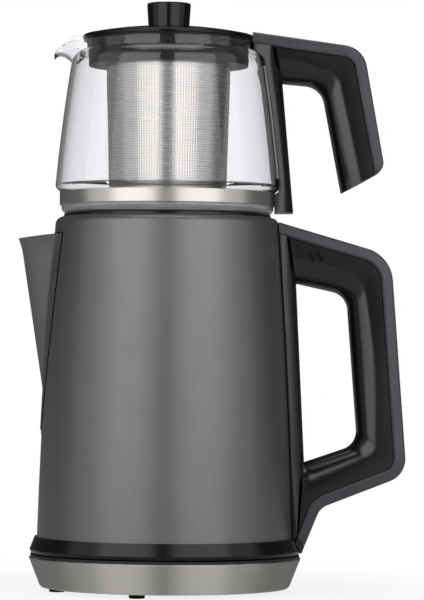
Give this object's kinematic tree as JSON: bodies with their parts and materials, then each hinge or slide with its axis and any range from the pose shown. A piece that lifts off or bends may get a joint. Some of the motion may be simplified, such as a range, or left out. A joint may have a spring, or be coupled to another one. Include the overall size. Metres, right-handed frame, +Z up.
{
  "type": "electric tea maker",
  "caption": "Cordless electric kettle on a round power base, with a glass teapot, steel infuser and lid stacked on the kettle.",
  "frame": {"origin": "on the table, under the middle of the whole appliance's outline; the axis of the base, kettle and teapot is 26.5 mm towards -X from it", "axes": "+Z up, +X towards the handles, both spouts towards -X, the camera's side is -Y"},
  "size_m": [0.2286, 0.16, 0.3464],
  "materials": {
    "rubber_pad": "matt black rubber",
    "base_plastic": "fine moulded texture",
    "trim_steel": "brushed round the ring, satin",
    "screw_steel": "zinc plated",
    "contact_brass": "plain",
    "gloss_black": "polished",
    "body_paint": "anthracite metallic lacquer, satin",
    "inner_steel": "satin stainless",
    "diffuser_aluminium": "plain rolled",
    "silicone": "translucent grey silicone",
    "handle_black": "fine moulded texture, satin",
    "handle_grey": "satin dark grey",
    "lens_plastic": "clear red",
    "polished_steel": "finely brushed bright stainless",
    "pot_glass": "clear borosilicate",
    "collar_plastic": "dark grey, satin",
    "clear_bond": "clear silicone"
  },
  "bodies": {
    "base": {"base_feet": "rubber_pad", "base_shell": "base_plastic", "base_wall": "base_plastic", "base_trim_ring": "trim_steel", "base_screws": "screw_steel", "base_top_plate": "base_plastic", "base_socket": "base_plastic", "socket_contacts": "contact_brass", "cord_bush": "rubber_pad"},
    "kettle_plug": {"kettle_connector": "base_plastic", "connector_blades": "contact_brass"},
    "kettle": {"kettle_skirt": "gloss_black", "kettle_bottom_cover": "base_plastic", "cover_screws": "screw_steel", "heating_plate": "inner_steel", "plate_seal": "silicone", "heat_diffuser": "diffuser_aluminium", "heating_element": "inner_steel", "element_terminals": "contact_brass", "control_unit": "base_plastic", "bimetal_discs": "contact_brass", "kettle_body": "body_paint", "kettle_spout": "body_paint", "spout_strainer_frame": "collar_plastic", "spout_strainer_mesh": "inner_steel", "kettle_handle_cover": "handle_grey", "handle_foot_clip": "handle_black", "kettle_handle_grip": "handle_black", "handle_gasket": "rubber_pad", "handle_brackets": "inner_steel", "handle_screws": "screw_steel", "rocker_pin": "screw_steel", "switch_block": "base_plastic", "indicator_lens": "lens_plastic"},
    "rocker": {"power_rocker": "handle_black"},
    "kettle_lid": {"kettle_lid": "gloss_black", "kettle_lid_seal": "silicone"},
    "teapot": {"teapot_foot": "pot_glass", "teapot_band": "polished_steel", "foot_seal": "silicone", "teapot_glass": "pot_glass", "teapot_handle_cover": "handle_grey", "teapot_handle_grip": "handle_black", "teapot_handle_bond": "clear_bond", "teapot_handle_bracket": "inner_steel", "teapot_handle_screw": "screw_steel"},
    "infuser": {"infuser_collar": "collar_plastic", "infuser_basket": "inner_steel", "basket_foot_ring": "inner_steel"},
    "pot_lid": {"lid_dome": "gloss_black", "lid_skirt_ring": "collar_plastic", "lid_knob": "gloss_black", "knob_screw": "screw_steel"}
  },
  "joints": [
    {"name": "kettle_lift", "type": "slide", "parent": "base", "child": "kettle_plug", "axis": [0, 0, 1], "range_m": [0, 0.06]},
    {"name": "kettle_swivel", "type": "hinge", "parent": "kettle_plug", "child": "kettle", "pos_m": [-0.0265, 0, 0.0226], "axis": [0, 0, 1], "continuous": true},
    {"name": "rocker_tilt", "type": "hinge", "parent": "kettle", "child": "rocker", "pos_m": [0.06544, 0, 0.20567], "axis": [0, 1, 0], "range_deg": [0, 8]},
    {"name": "kettle_lid_lift", "type": "slide", "parent": "kettle", "child": "kettle_lid", "axis": [0, 0, 1], "range_m": [0, 0.08]},
    {"name": "teapot_lift", "type": "slide", "parent": "kettle_lid", "child": "teapot", "axis": [0, 0, 1], "range_m": [0, 0.1]},
    {"name": "infuser_lift", "type": "slide", "parent": "teapot", "child": "infuser", "axis": [0, 0, 1], "range_m": [0, 0.11]},
    {"name": "pot_lid_lift", "type": "slide", "parent": "infuser", "child": "pot_lid", "axis": [0, 0, 1], "range_m": [0, 0.06]}
  ]
}
